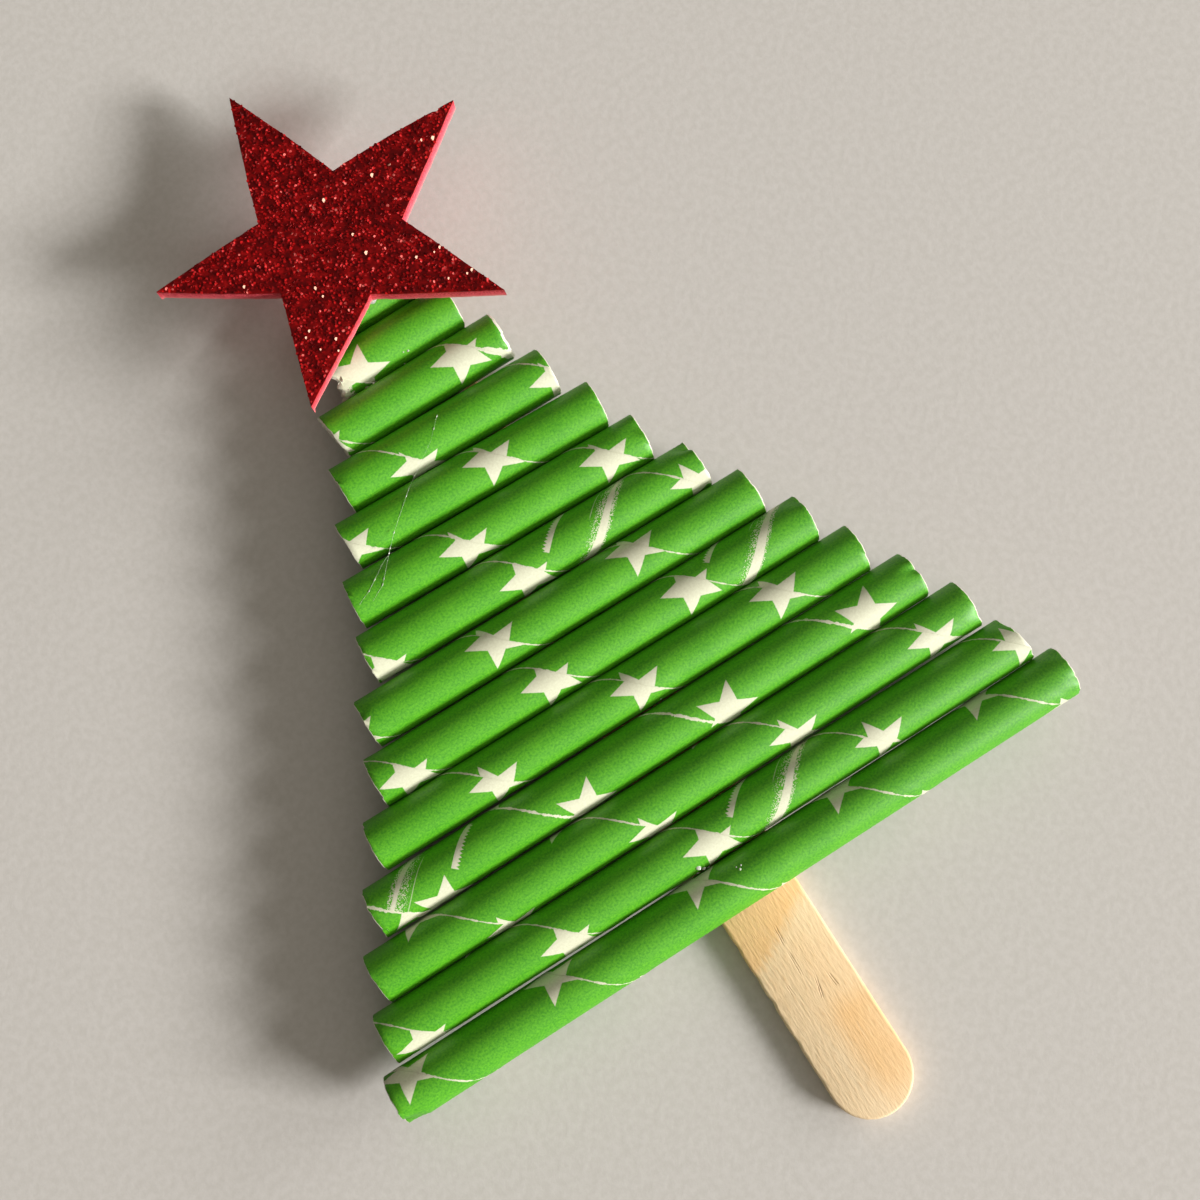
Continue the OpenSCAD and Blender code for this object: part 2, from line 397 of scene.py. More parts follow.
above_star = calc(tree, "SUBTRACT", calc(tree, "ADD", over_seam, aside), star_line)
# a five-pointed star: the angle is folded onto half of one point, whose edge is a straight line there
star_tip, star_notch, star_turn, fold = 3.8, 1.72, math.radians(10.8), math.pi / 5
angle = calc(tree, "ADD", calc(tree, "ARCTAN2", from_star, above_star), star_turn)
angle = calc(tree, "ABSOLUTE", calc(tree, "WRAP", angle, fold, -fold))
reach = calc(tree, "MULTIPLY", above_star, above_star)
reach = calc(tree, "SQRT", calc(tree, "MULTIPLY_ADD", from_star, from_star, reach))
edge_x, edge_y = star_notch * math.cos(fold) - star_tip, star_notch * math.sin(fold)
edge_length = math.hypot(edge_x, edge_y)
out_x = calc(tree, "SUBTRACT", calc(tree, "MULTIPLY", reach, calc(tree, "COSINE", angle)), star_tip)
out_y = calc(tree, "MULTIPLY", reach, calc(tree, "SINE", angle))
outside = calc(tree, "MULTIPLY", out_y, -edge_x / edge_length)
outside = calc(tree, "MULTIPLY_ADD", out_x, edge_y / edge_length, outside)
grain = speckle(tree, given["Place"], 3.2, 4, 0.6)
ragged = calc(tree, "MULTIPLY_ADD", grain, 0.10, -0.05)
star_mask = fade(tree, calc(tree, "ADD", outside, ragged), 0.05, -0.05)
# the white cut edge of the strip along the seam
seam_wave = speckle(tree, given["Place"], 1.1, 3, 0.7)
seam_room = calc(tree, "MULTIPLY", given["Seam Width"], fade(tree, seam_wave, 0.3, 0.7, 0.2, 1.25))
frayed = calc(tree, "MAXIMUM", calc(tree, "SUBTRACT", parts.outputs["X"], given["Fray Along"]), 0.0)
seam_room = calc(tree, "MULTIPLY_ADD", frayed, calc(tree, "MULTIPLY", seam_wave, 0.32), seam_room)
from_seam = calc(tree, "ABSOLUTE", calc(tree, "MULTIPLY", over_seam, seam_cos))
seam_mask = fade(tree, calc(tree, "SUBTRACT", from_seam, seam_room), 0.04, -0.04)
# the print gap: a bare stripe across the strip, a band of loose dots before it and a short toothed mark
from_gap = calc(tree, "SUBTRACT", down_strip, given["Gap Along"])
stripe_half = calc(tree, "MAXIMUM", calc(tree, "MULTIPLY_ADD", up_strip, -0.03, 0.72), 0.24)
off_stripe = calc(tree, "SUBTRACT", calc(tree, "ABSOLUTE", from_gap), stripe_half)
stripe = fade(tree, calc(tree, "ADD", off_stripe, ragged), 0.06, -0.06)
dots = put(tree, "ShaderNodeTexVoronoi", {"Vector": given["Place"], "Scale": 6.5}).outputs["Distance"]
dot_size = fade(tree, from_gap, -2.2, -0.45, 0.0, 0.6)
dot_size = calc(tree, "MULTIPLY", dot_size, fade(tree, from_gap, 1.1, 0.6))
dot_size = calc(tree, "MULTIPLY", dot_size, fade(tree, seam_wave, 0.3, 0.6, 0.7, 1.0))
dot_mask = fade(tree, calc(tree, "SUBTRACT", dots, dot_size), 0.03, -0.06, 0, 0.85)
hair_line = fade(tree, calc(tree, "ABSOLUTE", calc(tree, "ADD", from_gap, 1.75)), 0.07, 0.03, 0, 0.55)
hair_line = calc(tree, "MULTIPLY", hair_line, fade(tree, up_strip, 9.0, 10.5))
across_strip = calc(tree, "MULTIPLY", up_strip, seam_cos)
teeth = calc(tree, "PINGPONG", across_strip, 0.22)
teeth = calc(tree, "MULTIPLY_ADD", teeth, 1.7, calc(tree, "MULTIPLY", grain, 0.3))
mark = calc(tree, "ADD", from_gap, 5.75)
mark_left = fade(tree, calc(tree, "ADD", mark, teeth), -0.04, 0.04)
mark_mask = calc(tree, "MULTIPLY", mark_left, fade(tree, mark, 0.42, 0.34))
mark_mask = calc(tree, "MULTIPLY", mark_mask, fade(tree, across_strip, 2.0, 2.12))
mark_mask = calc(tree, "MULTIPLY", mark_mask, fade(tree, across_strip, 7.8, 7.7))
# the bare core where the printed ply is torn away at an end
rip = speckle(tree, given["Place"], 1.3, 4, 0.65)
torn_mask = calc(tree, "MULTIPLY_ADD", rip, 3.0, given["Torn Along"])
torn_mask = fade(tree, calc(tree, "SUBTRACT", torn_mask, parts.outputs["X"]), 1.45, 1.55)
bare = calc(tree, "MAXIMUM", star_mask, seam_mask)
for extra in (stripe, dot_mask, hair_line, mark_mask, torn_mask):
    bare = calc(tree, "MAXIMUM", bare, extra)
# ink lies thinner on the fibres' high spots, and the lightest of them are partly painted sheen
fibres = speckle(tree, given["Place"], 3.6, 5, 0.72)
pool = speckle(tree, given["Place"], 0.22, 2, 0.5)
shade = calc(tree, "MULTIPLY_ADD", fibres, 0.75, calc(tree, "MULTIPLY", pool, 0.12))
put(tree, "NodeGroupOutput", {"Bare Paper": bare, "Ink Shade": shade})


def printed_paper(number):
    """Green ink on white paper, with the stars where this straw shows them."""
    finish, tree = new_finish(f"star_paper_{number:02d}")
    values = (*printing[number - 1], torn_along.get(number, -far_off), fray_along.get(number, far_off),
              steep_seam.get(number, seam_slope), close_stars.get(number, star_pitch))
    inputs = dict(zip(print_inputs, values))
    inputs["Place"] = put(tree, "ShaderNodeUVMap", uv_map="paper").outputs[0]
    marks = put(tree, "ShaderNodeGroup", inputs, node_tree=star_print)
    shade = marks.outputs["Ink Shade"]
    ink = blend(tree, fade(tree, shade, 0.28, 0.56), paint(46, 133, 2), paint(90, 174, 10))
    # the lightest fibre specks are painted pale yellow-green: partly thinner ink, partly painted sheen
    ink = blend(tree, fade(tree, shade, 0.53, 0.66, 0, 0.6), ink, paint(136, 206, 54))
    white = blend(tree, fade(tree, shade, 0.285, 0.635), paint(202, 202, 175), paint(216, 218, 192))
    close_finish(tree, {
        "Base Color": blend(tree, marks.outputs["Bare Paper"], ink, white),
        "Roughness": fade(tree, shade, 0.235, 0.635, 0.46, 0.58), "Specular IOR Level": 0.6,
        "Normal": bump(tree, shade, 0.28, 0.05 * MM)})
    return finish


core_paper, tree = new_finish("white_core_paper")
pulp = speckle(tree, place_on_piece(tree), 2500, 4, 0.65)
close_finish(tree, {
    "Base Color": blend(tree, fade(tree, pulp, 0.3, 0.7), paint(206, 200, 180), paint(232, 228, 214)),
    "Roughness": fade(tree, pulp, 0.3, 0.7, 0.75, 0.9),
    "Normal": bump(tree, pulp, 0.4, 0.05 * MM)})


def wind_straw(number):
    """Winds the paper tube along X round the origin, longer than needed, with a step along its seam."""
    low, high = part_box(f"straw_{number:02d}")
    lean = math.radians(straw_lean[number - 1])
    length = ((high.x - low.x) - 2 * straw_radius * abs(math.sin(lean))) / math.cos(lean)
    wound = length + 2 * spare_length
    start = -wound / 2
    along, around, aside, way, _, _ = printing[number - 1]
    slope = steep_seam.get(number, seam_slope)
    seam_around = (around + aside / seam_cos - slope * (way * start / MM - along)) * way
    seam_angle = seam_around / straw_round
    clear_selection()
    bpy.ops.mesh.primitive_circle_add(
        vertices=ring_points, radius=straw_radius, rotation=(0, math.pi / 2, 0), location=(start, 0, 0)
    )
    straw = bpy.context.object
    straw.name = f"straw_{number:02d}_paper"
    keep_place()
    for corner in straw.data.vertices:
        if corner.index == 0:
            turn, raised = 2 * math.pi - seam_slit, 0.0
        elif corner.index == 1:
            turn, raised = 0.0, 1.0
        else:
            turn = 2 * math.pi * corner.index / ring_points
            raised = max(0.0, min(1.0, (overlap - turn * straw_round) / overlap_fade))
        radius = straw_radius + touching + ply_step * raised
        angle = seam_angle + turn * way
        corner.co = (start, radius * math.sin(angle), radius * math.cos(angle))
    winding = straw.modifiers.new("winding", "SCREW")
    winding.axis = "X"
    winding.screw_offset = wound
    winding.angle = wound / MM * slope / straw_round
    winding.steps = int(winding.screw_offset / wind_step)
    winding.render_steps = winding.steps
    winding.use_smooth_shade = True
    bpy.ops.object.modifier_apply(modifier="winding")
    bpy.ops.object.mode_set(mode="EDIT")
    bpy.ops.mesh.select_all(action="SELECT")
    bpy.ops.mesh.remove_doubles(threshold=0.001 * MM)
    bpy.ops.mesh.normals_make_consistent(inside=False)
    bpy.ops.object.mode_set(mode="OBJECT")
    face = straw.data.polygons[0]
    if face.normal.y * face.center.y + face.normal.z * face.center.z < 0:
        bpy.ops.object.mode_set(mode="EDIT")
        bpy.ops.mesh.flip_normals()
        bpy.ops.object.mode_set(mode="OBJECT")
    return straw, length


def lay_out_paper(straw):
    """Flattens the paper in its map: mm along the straw, and mm around it from the line that faces front."""
    paper = straw.data.uv_layers.new(name="paper")
    for face in straw.data.polygons:
        middle = math.atan2(face.center.y, face.center.z)
        for corner in face.loop_indices:
            spot = straw.data.vertices[straw.data.loops[corner].vertex_index].co
            turn = math.atan2(spot.y, spot.z) - middle
            turn = middle + (turn + math.pi) % (2 * math.pi) - math.pi
            paper.data[corner].uv = (spot.x / MM, turn * straw_round)


def snip(straw, number, length):
    """Cuts both ends to length at their slant, and turns the printed ply in to a bare white rim there."""
    for side, (towards_tip, towards_front, rim_width) in zip((-1, 1), end_cut[number - 1]):
        rim = rim_width * MM
        slant = (side, -side * towards_tip, -side * towards_front)
        bpy.ops.object.mode_set(mode="EDIT")
        bpy.ops.mesh.select_mode(type="EDGE")
        bpy.ops.mesh.select_all(action="SELECT")
        bpy.ops.mesh.bisect(plane_co=(side * (length / 2 - rim), 0, 0), plane_no=slant, clear_outer=True)
        bpy.ops.transform.vertex_random(offset=0.04 * MM, uniform=0.4, normal=0.0, seed=number)
        bpy.ops.object.mode_set(mode="OBJECT")
        ragged = jagged.get((number, side), clean_cut)
        for corner in straw.data.vertices:
            if corner.select:
                turn = math.atan2(corner.co.y, corner.co.z)
                wander = noise.noise((3.5 * math.cos(turn), 3.5 * math.sin(turn), number + 0.5 * side))
                corner.co.x -= side * ragged * (0.5 + wander) * MM
        printed = len(straw.data.polygons)
        bpy.ops.object.mode_set(mode="EDIT")
        bpy.ops.mesh.extrude_region_move(TRANSFORM_OT_translate={"value": (side * rim, 0, 0)})
        inward = 1 - 0.8 * rim / straw_radius
        bpy.ops.transform.resize(value=(1, inward, inward), center_override=(side * length / 2, 0, 0))
        bpy.ops.object.mode_set(mode="OBJECT")
        for face in straw.data.polygons[printed:]:
            face.material_index = 1


def pinch(straw, number, length):
    """Pushes the wall in where the scissors squeezed an end."""
    for which, side, place, depth, width, reach in pinches:
        if which != number:
            continue
        for corner in straw.data.vertices:
            x, y, z = corner.co
            from_end = max(0.0, length / 2 - side * x) / MM
            beside = (math.atan2(y, z) - place / straw_round + math.pi) % (2 * math.pi) - math.pi
            push = depth * max(0.0, 1 - abs(beside) * straw_round / width) * max(0.0, 1 - from_end / reach)
            inward = 1 - push / straw_round
            corner.co = (x, y * inward, z * inward)


for number in straw_numbers:
    straw, length = wind_straw(number)
    lay_out_paper(straw)
    snip(straw, number, length)
    pinch(straw, number, length)
    wall = straw.modifiers.new("wall", "SOLIDIFY")
    wall.thickness = straw_wall
    wall.offset = -1
    wall.use_even_offset = False
    wall.material_offset = 1
    wall.material_offset_rim = 1
    straw.data.materials.append(printed_paper(number))
    straw.data.materials.append(core_paper)
    bpy.ops.object.modifier_apply(modifier="wall")
    straw.location = straw_middle(number)
    straw.rotation_euler = (0, 0, math.radians(straw_lean[number - 1]))
    keep_place()
    bpy.ops.object.shade_smooth_by_angle(angle=math.radians(40))
    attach(straw, "root")
    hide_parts(f"straw_{number:02d}")


# The star: cut by hand with scissors from red foam rubber sheet about 2 mm thick.
# Its cut sides are soft and matt, lighter than the front, and lean a little with the scissors.
# It is glued to the top straw alone, and tips over it with its upper points towards the table.
star_back = 3.1 * MM
foam_thickness = 1.8 * MM
star_middle = Vector((0, 6.8, 0)) * MM
star_aside = -1.0 * MM
star_lean = math.radians(9)
top_straw = straw_middle(14)
# tips and notches by turns, from the top tip round to the left: reach in mm and direction in degrees
star_rim = (
    (23.3, 92.1), (8.7, 133.5), (21.0, 164.6), (8.6, 200.0), (21.0, 235.2),
    (9.1, 273.2), (22.0, 307.8), (8.8, 341.0), (22.4, 378.5), (8.6, 417.3),
)
cut_count = len(star_rim)
# outward swell of the cuts at their middles, and how far the back rim stays behind the front rim, in mm
edge_swell = (0.25, 0.25, 0.3, 0.1, 0.05, 0.15, 0.05, 0.0, 0.5, 0.4)
under_cut = (0.0, 0.0, 0.25, 0.0, 0.3, 0.25, 0.0, 0.1, 0.0, 0.0)
# the scissors' wander: its height in mm, waves for each mm, and seed
scissor_waves = ((0.10, 0.35, 2.0), (0.06, 1.5, 5.0), (0.08, 4.1, 9.0))
# a snag in one cut: its place and width as shares of the cut's length, and its depth
snag_cut, snag_place, snag_width, snag_depth = 8, 0.16, 0.022, 0.25 * MM


def lean_over_top_straw(piece):
    """Moves a piece made round the origin onto the top straw, and tips it with the star."""
    piece.location = (star_aside, top_straw.y, top_straw.z)
    piece.rotation_euler = (-star_lean, 0, 0)
    keep_place()


def rim_corner(k):
    """A tip or notch of the star, from the star's middle."""
    reach, angle = star_rim[k % cut_count]
    return Vector((math.cos(math.radians(angle)), math.sin(math.radians(angle)), 0)) * reach * MM


def cut_inward(k):
    """Square to a cut, towards the star's middle."""
    along = rim_corner(k + 1) - rim_corner(k)
    return Vector((-along.y, along.x, 0)).normalized()


def star_outline(name, height):
    """A flat star at that height, with each cut divided so that the scissors' wander shows."""
    clear_selection()
    bpy.ops.mesh.primitive_circle_add(
        vertices=cut_count, radius=20 * MM, fill_type="NGON", location=star_middle
    )
    star = bpy.context.object
    star.name = name
    keep_place()
    for corner in star.data.vertices:
        corner.co = star_middle + rim_corner(corner.index) + Vector((0, 0, height))
    corners = [corner.co.copy() for corner in star.data.vertices]
    pick(star, lambda edge: True, "EDGE")
    bpy.ops.mesh.subdivide(number_cuts=31)
    bpy.ops.object.mode_set(mode="OBJECT")
    cut_number = star.data.attributes.new("cut_number", "INT", "POINT")
    for corner in star.data.vertices:
        x, y = corner.co.x / MM, corner.co.y / MM
        wander = sum(rise * noise.noise((often * x, often * y, seed)) for rise, often, seed in scissor_waves)
        outward = corner.co - star_middle
        outward.z = 0
        outward.normalize()
        snag = Vector((0, 0, 0))
        for k in range(cut_count):
            first, second = corners[k], corners[(k + 1) % cut_count]
            share = (corner.co - first).dot(second - first) / (second - first).length_squared
            off_line = (corner.co - first - share * (second - first)).length
            if -0.01 < share < 1.01 and off_line < 0.01 * MM:
                wander += edge_swell[k] * math.sin(math.pi * max(0, min(1, share))) ** 0.7
                cut_number.data[corner.index].value = k
                if k == snag_cut:
                    snag = cut_inward(k) * snag_depth * math.exp(-((share - snag_place) / snag_width) ** 2)
                break
        corner.co += outward * wander * MM + snag
    return star


foam = star_outline("star_foam_cut", star_back + foam_thickness)
thicken(foam, -foam_thickness)
cut_number = foam.data.attributes["cut_number"]
for corner in foam.data.vertices:
    if corner.co.z < star_back + 0.1 * MM:
        k = cut_number.data[corner.index].value
        corner.co += cut_inward(k) * under_cut[k] * MM
pick(foam, lambda edge: abs(span(foam, edge).z) < 0.1 * MM, "EDGE")
bpy.ops.mesh.bevel(offset=0.12 * MM, segments=2, affect="EDGES", clamp_overlap=True)
bpy.ops.object.mode_set(mode="OBJECT")
bpy.ops.object.shade_smooth_by_angle(angle=math.radians(35))

foam_red, tree = new_finish("red_foam_rubber")
place = place_on_piece(tree)
cells = put(tree, "ShaderNodeTexVoronoi", {"Vector": place, "Scale": 5200.0}).outputs["Distance"]
cut = speckle(tree, place, 1400, 3, 0.6, (1, 1, 0.4))
shade = calc(tree, "MULTIPLY_ADD", cells, 0.5, calc(tree, "MULTIPLY", cut, 0.6))
red = blend(tree, fade(tree, shade, 0.25, 0.75), paint(198, 47, 62), paint(234, 84, 99))
# the back rim of the cut is painted paler, a painted highlight along its lower edge, and stray glitter clings
# below its front rim
star_up = Vector((0, math.sin(star_lean), math.cos(star_lean)))
height = put(tree, "ShaderNodeVectorMath", {0: place, 1: star_up}, operation="DOT_PRODUCT").outputs["Value"]
height = calc(tree, "SUBTRACT", height, star_up.dot(top_straw) + star_back)
red = blend(tree, fade(tree, height, 0.7 * MM, 0.1 * MM, 0, 0.55), red, paint(244, 142, 140))
clinging = calc(tree, "MULTIPLY_ADD", speckle(tree, place, 4200, 2), 3.0 * MM, height)
red = blend(tree, fade(tree, clinging, 2.5 * MM, 3.0 * MM, 0, 0.7), red, paint(158, 22, 30))
close_finish(tree, {
    "Base Color": red, "Roughness": fade(tree, cells, 0.1, 0.6, 0.62, 0.8),
    "Normal": bump(tree, shade, 0.4, 0.05 * MM)})
foam.data.materials.append(foam_red)
lean_over_top_straw(foam)
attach(foam, "root")
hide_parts("star_foam")


# The star's front: a dark red lacquer layer on the foam, strewn with fine red foil glitter.
# Each flake is a six-sided chip about a third of a millimetre across, lying a little askew.
glitter_thickness = 0.2 * MM
flake_radius = 0.18 * MM
flake_depth = 0.03 * MM
flake_spacing = 0.2 * MM
# a few flakes catch the light and are painted pale as a painted glint: the tone from which on they do, and
# how they are tipped
flash_tone = 0.9945
flash_tilt = (0.55, 0.38, 0.3)
glitter = star_outline("star_glitter_front", star_back + foam_thickness)
thicken(glitter, 0.6 * glitter_thickness)
strewn_area = 50 * MM * MM
pick(glitter, lambda face: face.normal.z > 0.9 and face.area > strewn_area, "FACE")
bpy.ops.mesh.inset(thickness=0.06 * MM)
bpy.ops.object.mode_set(mode="OBJECT")
strewn_faces = glitter.data.attributes.new("strewn", "BOOLEAN", "FACE")
for face in glitter.data.polygons:
    strewn_faces.data[face.index].value = face.select

clear_selection()
bpy.ops.mesh.primitive_cylinder_add(vertices=6, radius=flake_radius, depth=flake_depth, location=(0, 0, 0))
flake = bpy.context.object
flake.name = "one_flake"

strew = bpy.data.node_groups.new("strewn_flakes", "GeometryNodeTree")
strew.interface.new_socket("Geometry", in_out="INPUT", socket_type="NodeSocketGeometry")
strew.interface.new_socket("Geometry", in_out="OUTPUT", socket_type="NodeSocketGeometry")
tree = strew
layer = tree.nodes.new("NodeGroupInput").outputs["Geometry"]
front = put(tree, "GeometryNodeInputNamedAttribute", {"Name": "strewn"}, data_type="BOOLEAN").outputs[0]
spots = put(tree, "GeometryNodeDistributePointsOnFaces", {
    "Mesh": layer, "Selection": front, "Distance Min": flake_spacing, "Density Max": 8.0e7, "Seed": 3},
    distribute_method="POISSON").outputs["Points"]


def chance(low, high, seed):
    """A number of its own for each flake."""
    return put(tree, "FunctionNodeRandomValue", {2: low, 3: high, "Seed": seed}, data_type="FLOAT").outputs[1]


askew = put(tree, "FunctionNodeRandomValue", {0: (-0.6, -0.6, 0.0), 1: (0.6, 0.6, 6.28), "Seed": 5},
            data_type="FLOAT_VECTOR").outputs[0]
tone = chance(0.02, 1.0, 13)
flashing = calc(tree, "GREATER_THAN", tone, flash_tone)
size = calc(tree, "MULTIPLY_ADD", flashing, chance(-0.25, 0.8, 21), chance(0.75, 1.15, 8))
tilt = put(tree, "ShaderNodeMix", {0: flashing, 4: askew, 5: flash_tilt}, data_type="VECTOR").outputs[1]
chip = put(tree, "GeometryNodeObjectInfo", {"Object": flake}).outputs["Geometry"]
chips = put(tree, "GeometryNodeInstanceOnPoints", {
    "Points": spots, "Instance": chip, "Rotation": tilt, "Scale": size}).outputs[0]
chips = put(tree, "GeometryNodeStoreNamedAttribute", {"Geometry": chips, "Name": "tone", "Value": tone},
            data_type="FLOAT", domain="INSTANCE").outputs[0]
chips = put(tree, "GeometryNodeTranslateInstances", {
    "Instances": chips, "Translation": (0, 0, flake_depth), "Local Space": False}).outputs[0]
chips = put(tree, "GeometryNodeRealizeInstances", {0: chips}).outputs[0]
joined = tree.nodes.new("GeometryNodeJoinGeometry")
tree.links.new(layer, joined.inputs[0])
tree.links.new(chips, joined.inputs[0])
put(tree, "NodeGroupOutput", {"Geometry": joined.outputs[0]})
clear_selection()
glitter.select_set(True)
bpy.context.view_layer.objects.active = glitter
strewn = glitter.modifiers.new("strewn", "NODES")
strewn.node_group = strew
bpy.ops.object.modifier_apply(modifier="strewn")
bpy.data.objects.remove(flake)

foil, tree = new_finish("red_foil_glitter")
tone = put(tree, "ShaderNodeAttribute", attribute_name="tone").outputs["Fac"]
drift = speckle(tree, place_on_piece(tree), 950, 3, 0.6)
# each flake's own tone and a coarse drift run the red from dark to bright; the pale pink upper end is painted
# glint and painted sheen on the foil
tone_and_glint = calc(tree, "ADD", tone, fade(tree, drift, 0.3, 0.7, -0.75, 0.5))
red = blend(tree, fade(tree, tone_and_glint, -0.6, 0.1), paint(98, 0, 3), paint(134, 2, 5))
red = blend(tree, fade(tree, tone_and_glint, 0.0, 0.85), red, paint(186, 16, 18))
red = blend(tree, fade(tree, tone_and_glint, 0.8, 1.2), red, paint(206, 56, 60))
red = blend(tree, fade(tree, tone_and_glint, 1.12, 1.3), red, paint(236, 118, 110))
# flakes past the flash tone are painted pale pink-white, a painted glint
red = blend(tree, fade(tree, tone, flash_tone - 0.0005, flash_tone), red, paint(255, 188, 162))
close_finish(tree, {
    "Base Color": red, "Metallic": fade(tree, tone_and_glint, 0.3, 0.9, 0.25, 0.0),
    "Roughness": fade(tree, tone, 0.0, 1.0, 0.5, 0.3), "Specular IOR Level": 0.22})
glitter.data.materials.clear()
glitter.data.materials.append(foil)
lean_over_top_straw(glitter)
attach(glitter, "root")
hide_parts("star_glitter")


# Hot glue under the star: one dab squeezed between the top straw and the back of the foam.
# It set whiter than the dabs on the stick, and its rim just shows in the notch between the star's legs.
dab_half = 2.4 * MM
set_glue, tree = new_finish("set_glue")
milk = speckle(tree, place_on_piece(tree), 2400, 3)
close_finish(tree, {
    "Base Color": blend(tree, fade(tree, milk, 0.35, 0.65), paint(232, 230, 218), paint(252, 251, 246)),
    "Roughness": fade(tree, milk, 0.35, 0.7, 0.12, 0.24), "IOR": 1.45, "Transmission Weight": 0.5})

clear_selection()
bpy.ops.mesh.primitive_uv_sphere_add(segments=40, ring_count=24, radius=1, location=(0, 0, 0))
star_dab = bpy.context.object
star_dab.name = "star_glue_drop"
for corner in star_dab.data.vertices:
    u, v, w = corner.co
    towards_notch = max(0.0, -v)
    x = dab_half * (1 - 0.55 * towards_notch ** 3) * u + 0.4 * MM * towards_notch
    y = dab_half * (0.9 if v < 0 else 1.0) * v * (1 - 0.12 * u * u)
    under = max(math.sqrt(straw_radius ** 2 - y * y) + touching, 1.4 * MM)
    flat = max(-1.0, min(1.0, 1.9 * w))
    corner.co = (x, y, under + (flat + 1) / 2 * (star_back - touching - under))
lean_over_top_straw(star_dab)
bpy.ops.object.shade_smooth()
star_dab.data.materials.append(set_glue)
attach(star_dab, "root")
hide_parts("star_glue")


# Stray hot glue: two hair-thin threads that were drawn out across three straws, and small set beads.
# The threads are taut from crown to crown, with tiny drops where the glue ran together.
thread_radius = 0.02 * MM
thread_step = 0.12
# length over which a thread comes down to the straws at its ends, in mm
thread_end = 2.0
# above this place along the tree the first thread is thinner
thin_from = 60.3
# places in mm from the middle of the stick and from the bottom straw's lower edge
thread_routes = (
    ((-1.36, 65.95), (-3.54, 63.69), (-8.54, 60.34), (-12.71, 56.84), (-14.05, 55.51), (-16.95, 52.36),
     (-18.85, 51.42)),
    ((-14.05, 55.51), (-16.1, 54.2), (-18.6, 52.6), (-20.3, 51.9)),
)
thread_drops = (
    (-1.5, 65.8), (-2.6, 64.7), (-9.4, 59.75), (-12.71, 56.84), (-14.05, 55.51),
    (-14.4, 55.1), (-16.5, 52.95), (-16.9, 52.4), (-17.4, 53.4), (-18.6, 52.6),
)
# beads: place and size
bead_places = (
    (-4.0, 6.75, 0.30), (-3.45, 6.35, 0.24), (-2.9, 6.0, 0.14), (-4.3, 6.2, 0.13), (-0.18, 4.2, 0.15),
    (0.15, 4.5, 0.11), (-0.4, 4.6, 0.09), (1.6, 24.55, 0.12), (2.36, 24.6, 0.17), (3.04, 24.55, 0.13),
    (2.7, 24.75, 0.10), (-0.21, 74.5, 0.15), (-0.75, 74.6, 0.10), (4.05, 73.7, 0.14), (-1.3, 73.85, 0.10),
    (-6.5, 73.7, 0.2), (-5.6, 73.5, 0.15),
)


def straw_front(x, y):
    """Height of the straws' front there, or of the stick's front between them."""
    heights = [stick_high.z]
    for number in straw_numbers:
        middle = straw_middle(number)
        beside = y - middle.y - (x - middle.x) * math.tan(math.radians(straw_lean[number - 1]))
        if abs(beside) < straw_radius:
            heights.append(middle.z + math.sqrt(straw_radius ** 2 - beside ** 2))
    return max(heights)


threads = bpy.data.curves.new("glue_threads", "CURVE")
threads.dimensions = "3D"
threads.bevel_depth = thread_radius
threads.bevel_resolution = 2
threads.use_fill_caps = True
crown = top_straw.z + straw_radius - thread_radius
for route in thread_routes:
    spots = []
    for (x0, y0), (x1, y1) in zip(route, route[1:]):
        steps = max(2, int(math.hypot(x1 - x0, y1 - y0) / thread_step))
        spots += [(x0 + (x1 - x0) * k / steps, y0 + (y1 - y0) * k / steps) for k in range(steps)]
    spots.append(route[-1])
    strand = threads.splines.new("POLY")
    strand.points.add(len(spots) - 1)
    for k, (point, (x, y)) in enumerate(zip(strand.points, spots)):
        from_end = min(k, len(spots) - 1 - k) * thread_step
        lying = straw_front(x * MM, y * MM) + thread_radius
        z = lying + (max(lying, crown) - lying) * min(1.0, from_end / thread_end)
        drop = sum(3.6 * math.exp(-((x - a) ** 2 + (y - b) ** 2) / 0.012) for a, b in thread_drops)
        slim = 0.3 if y > thin_from else 0.55
        point.co = (x * MM, y * MM, z, 1)
        point.radius = slim + 0.5 * slim * noise.noise((2.2 * x, 2.2 * y, 0.0)) + min(drop, 4.0)
clear_selection()
thread = bpy.data.objects.new("glue_threads", threads)
bpy.context.scene.collection.objects.link(thread)
thread.select_set(True)
bpy.context.view_layer.objects.active = thread
bpy.ops.object.convert(target="MESH")
thread = bpy.context.object
bpy.ops.object.shade_smooth()
thread.data.materials.append(set_glue)
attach(thread, "root")

beads = []
for x, y, size in bead_places:
    clear_selection()
    bpy.ops.mesh.primitive_ico_sphere_add(subdivisions=3, radius=size * MM, location=(0, 0, 0))
    bead = bpy.context.object
    for corner in bead.data.vertices:
        u, v, w = corner.co / (size * MM)
        corner.co *= 1 + 0.35 * noise.noise((0.75 * u + x, 0.75 * v + y, w))
        corner.co.z *= 0.6
    bead.location = (x * MM, y * MM, straw_front(x * MM, y * MM) + 0.15 * size * MM)
    keep_place()
    beads.append(bead)
clear_selection()
for bead in beads:
    bead.select_set(True)
bpy.context.view_layer.objects.active = beads[0]
bpy.ops.object.join()
beads = bpy.context.object
beads.name = "glue_beads"
bpy.ops.object.shade_smooth()
beads.data.materials.append(set_glue)
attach(beads, "root")


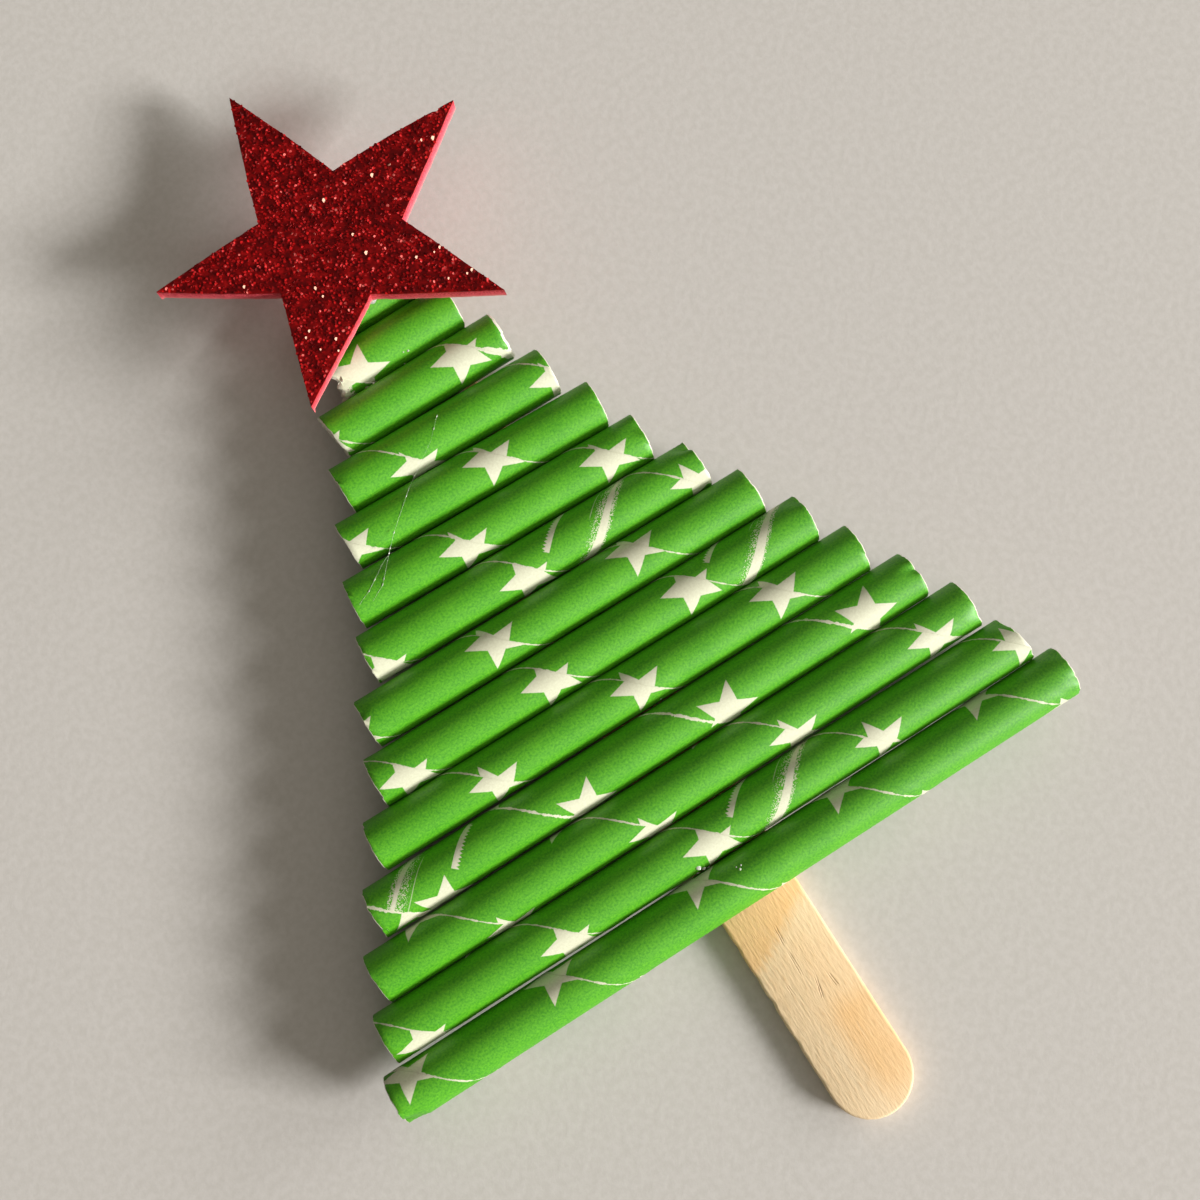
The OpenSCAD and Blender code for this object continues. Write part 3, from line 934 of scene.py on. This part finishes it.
# The surroundings: the tree lies on its back on a plain pale warm-grey table top.
# Daylight comes in low through two windows, a near one at the lower right and a far one at the right,
# and the pale room gives back a faint warm light.
clear_selection()
bpy.ops.mesh.primitive_plane_add(size=3, location=(0, 0.04, 0))
table_top = bpy.context.object
table_top.name = "pale_table"
keep_place()
pale, tree = new_finish("pale_table")
tooth = speckle(tree, place_on_piece(tree), 1100, 3, 0.6)
close_finish(tree, {
    "Base Color": blend(tree, fade(tree, tooth, 0.3, 0.7), paint(198, 194, 189), paint(205, 201, 197)),
    "Roughness": 0.7, "Specular IOR Level": 0.2,
    "Normal": bump(tree, tooth, 0.2, 0.1 * MM)})
table_top.data.materials.append(pale)

tree_centre = Vector((0, 38, 0)) * MM
window_distance = 5
# heading and height in degrees, size across and up in metres, tilt in degrees, and strength in watts
windows = (
    ("near_window", -48.3, 20.0, 1.9, 0.94, -8.4, 420),
    ("far_window", -7.9, 17.4, 3.16, 0.88, -24, 103),
)
for name, heading, height, across, up, tilt, strength in windows:
    turned = Matrix.Rotation(math.radians(heading), 3, "Z") @ Matrix.Rotation(math.radians(-height), 3, "Y")
    towards = turned @ Vector((1, 0, 0))
    window = bpy.data.lights.new(name, "AREA")
    window.shape = "RECTANGLE"
    window.size = across
    window.size_y = up
    window.energy = strength
    window.color = (1.0, 0.99, 0.97)
    lamp = bpy.data.objects.new(name, window)
    lamp.location = tree_centre + window_distance * towards
    facing_tree = (-towards).to_track_quat("-Z", "Y").to_matrix()
    lamp.rotation_euler = (facing_tree @ Matrix.Rotation(math.radians(tilt), 3, "Z")).to_euler()
    bpy.context.scene.collection.objects.link(lamp)

sky = bpy.data.worlds.new("pale_room")
sky.use_nodes = True
tree = sky.node_tree
tree.nodes.clear()
heading = put(tree, "ShaderNodeTexCoord").outputs["Generated"]
towards_window = {0: heading, 1: (0.45, -0.62, 0.64)}
sunny = put(tree, "ShaderNodeVectorMath", towards_window, operation="DOT_PRODUCT").outputs["Value"]
sunny = fade(tree, sunny, -0.5, 1.0, 0.04, 0.45)
room = put(tree, "ShaderNodeBackground", {"Color": (1.0, 0.93, 0.80, 1), "Strength": sunny})
put(tree, "ShaderNodeOutputWorld", {"Surface": room.outputs[0]})
bpy.context.scene.world = sky
bpy.context.scene.view_settings.view_transform = "Standard"

eye = Vector((-8.05, 18.49, 175.78)) * MM
aim = Vector((3.06, 38.09, 5.0)) * MM
roll = math.radians(32.69)
look = (aim - eye).normalized()
level = (Vector((0, 1, 0)) - look * look.y).normalized()
upward = math.cos(roll) * level + math.sin(roll) * look.cross(level)
rightward = look.cross(upward)
lens = bpy.data.cameras.new("photo_view")
lens.sensor_width = 36
lens.lens = 45
lens.clip_start = 0.005
camera = bpy.data.objects.new("photo_view", lens)
camera.matrix_world = Matrix.Translation(eye) @ Matrix((rightward, upward, -look)).transposed().to_4x4()
bpy.context.scene.collection.objects.link(camera)
bpy.context.scene.camera = camera

bpy.context.view_layer.update()
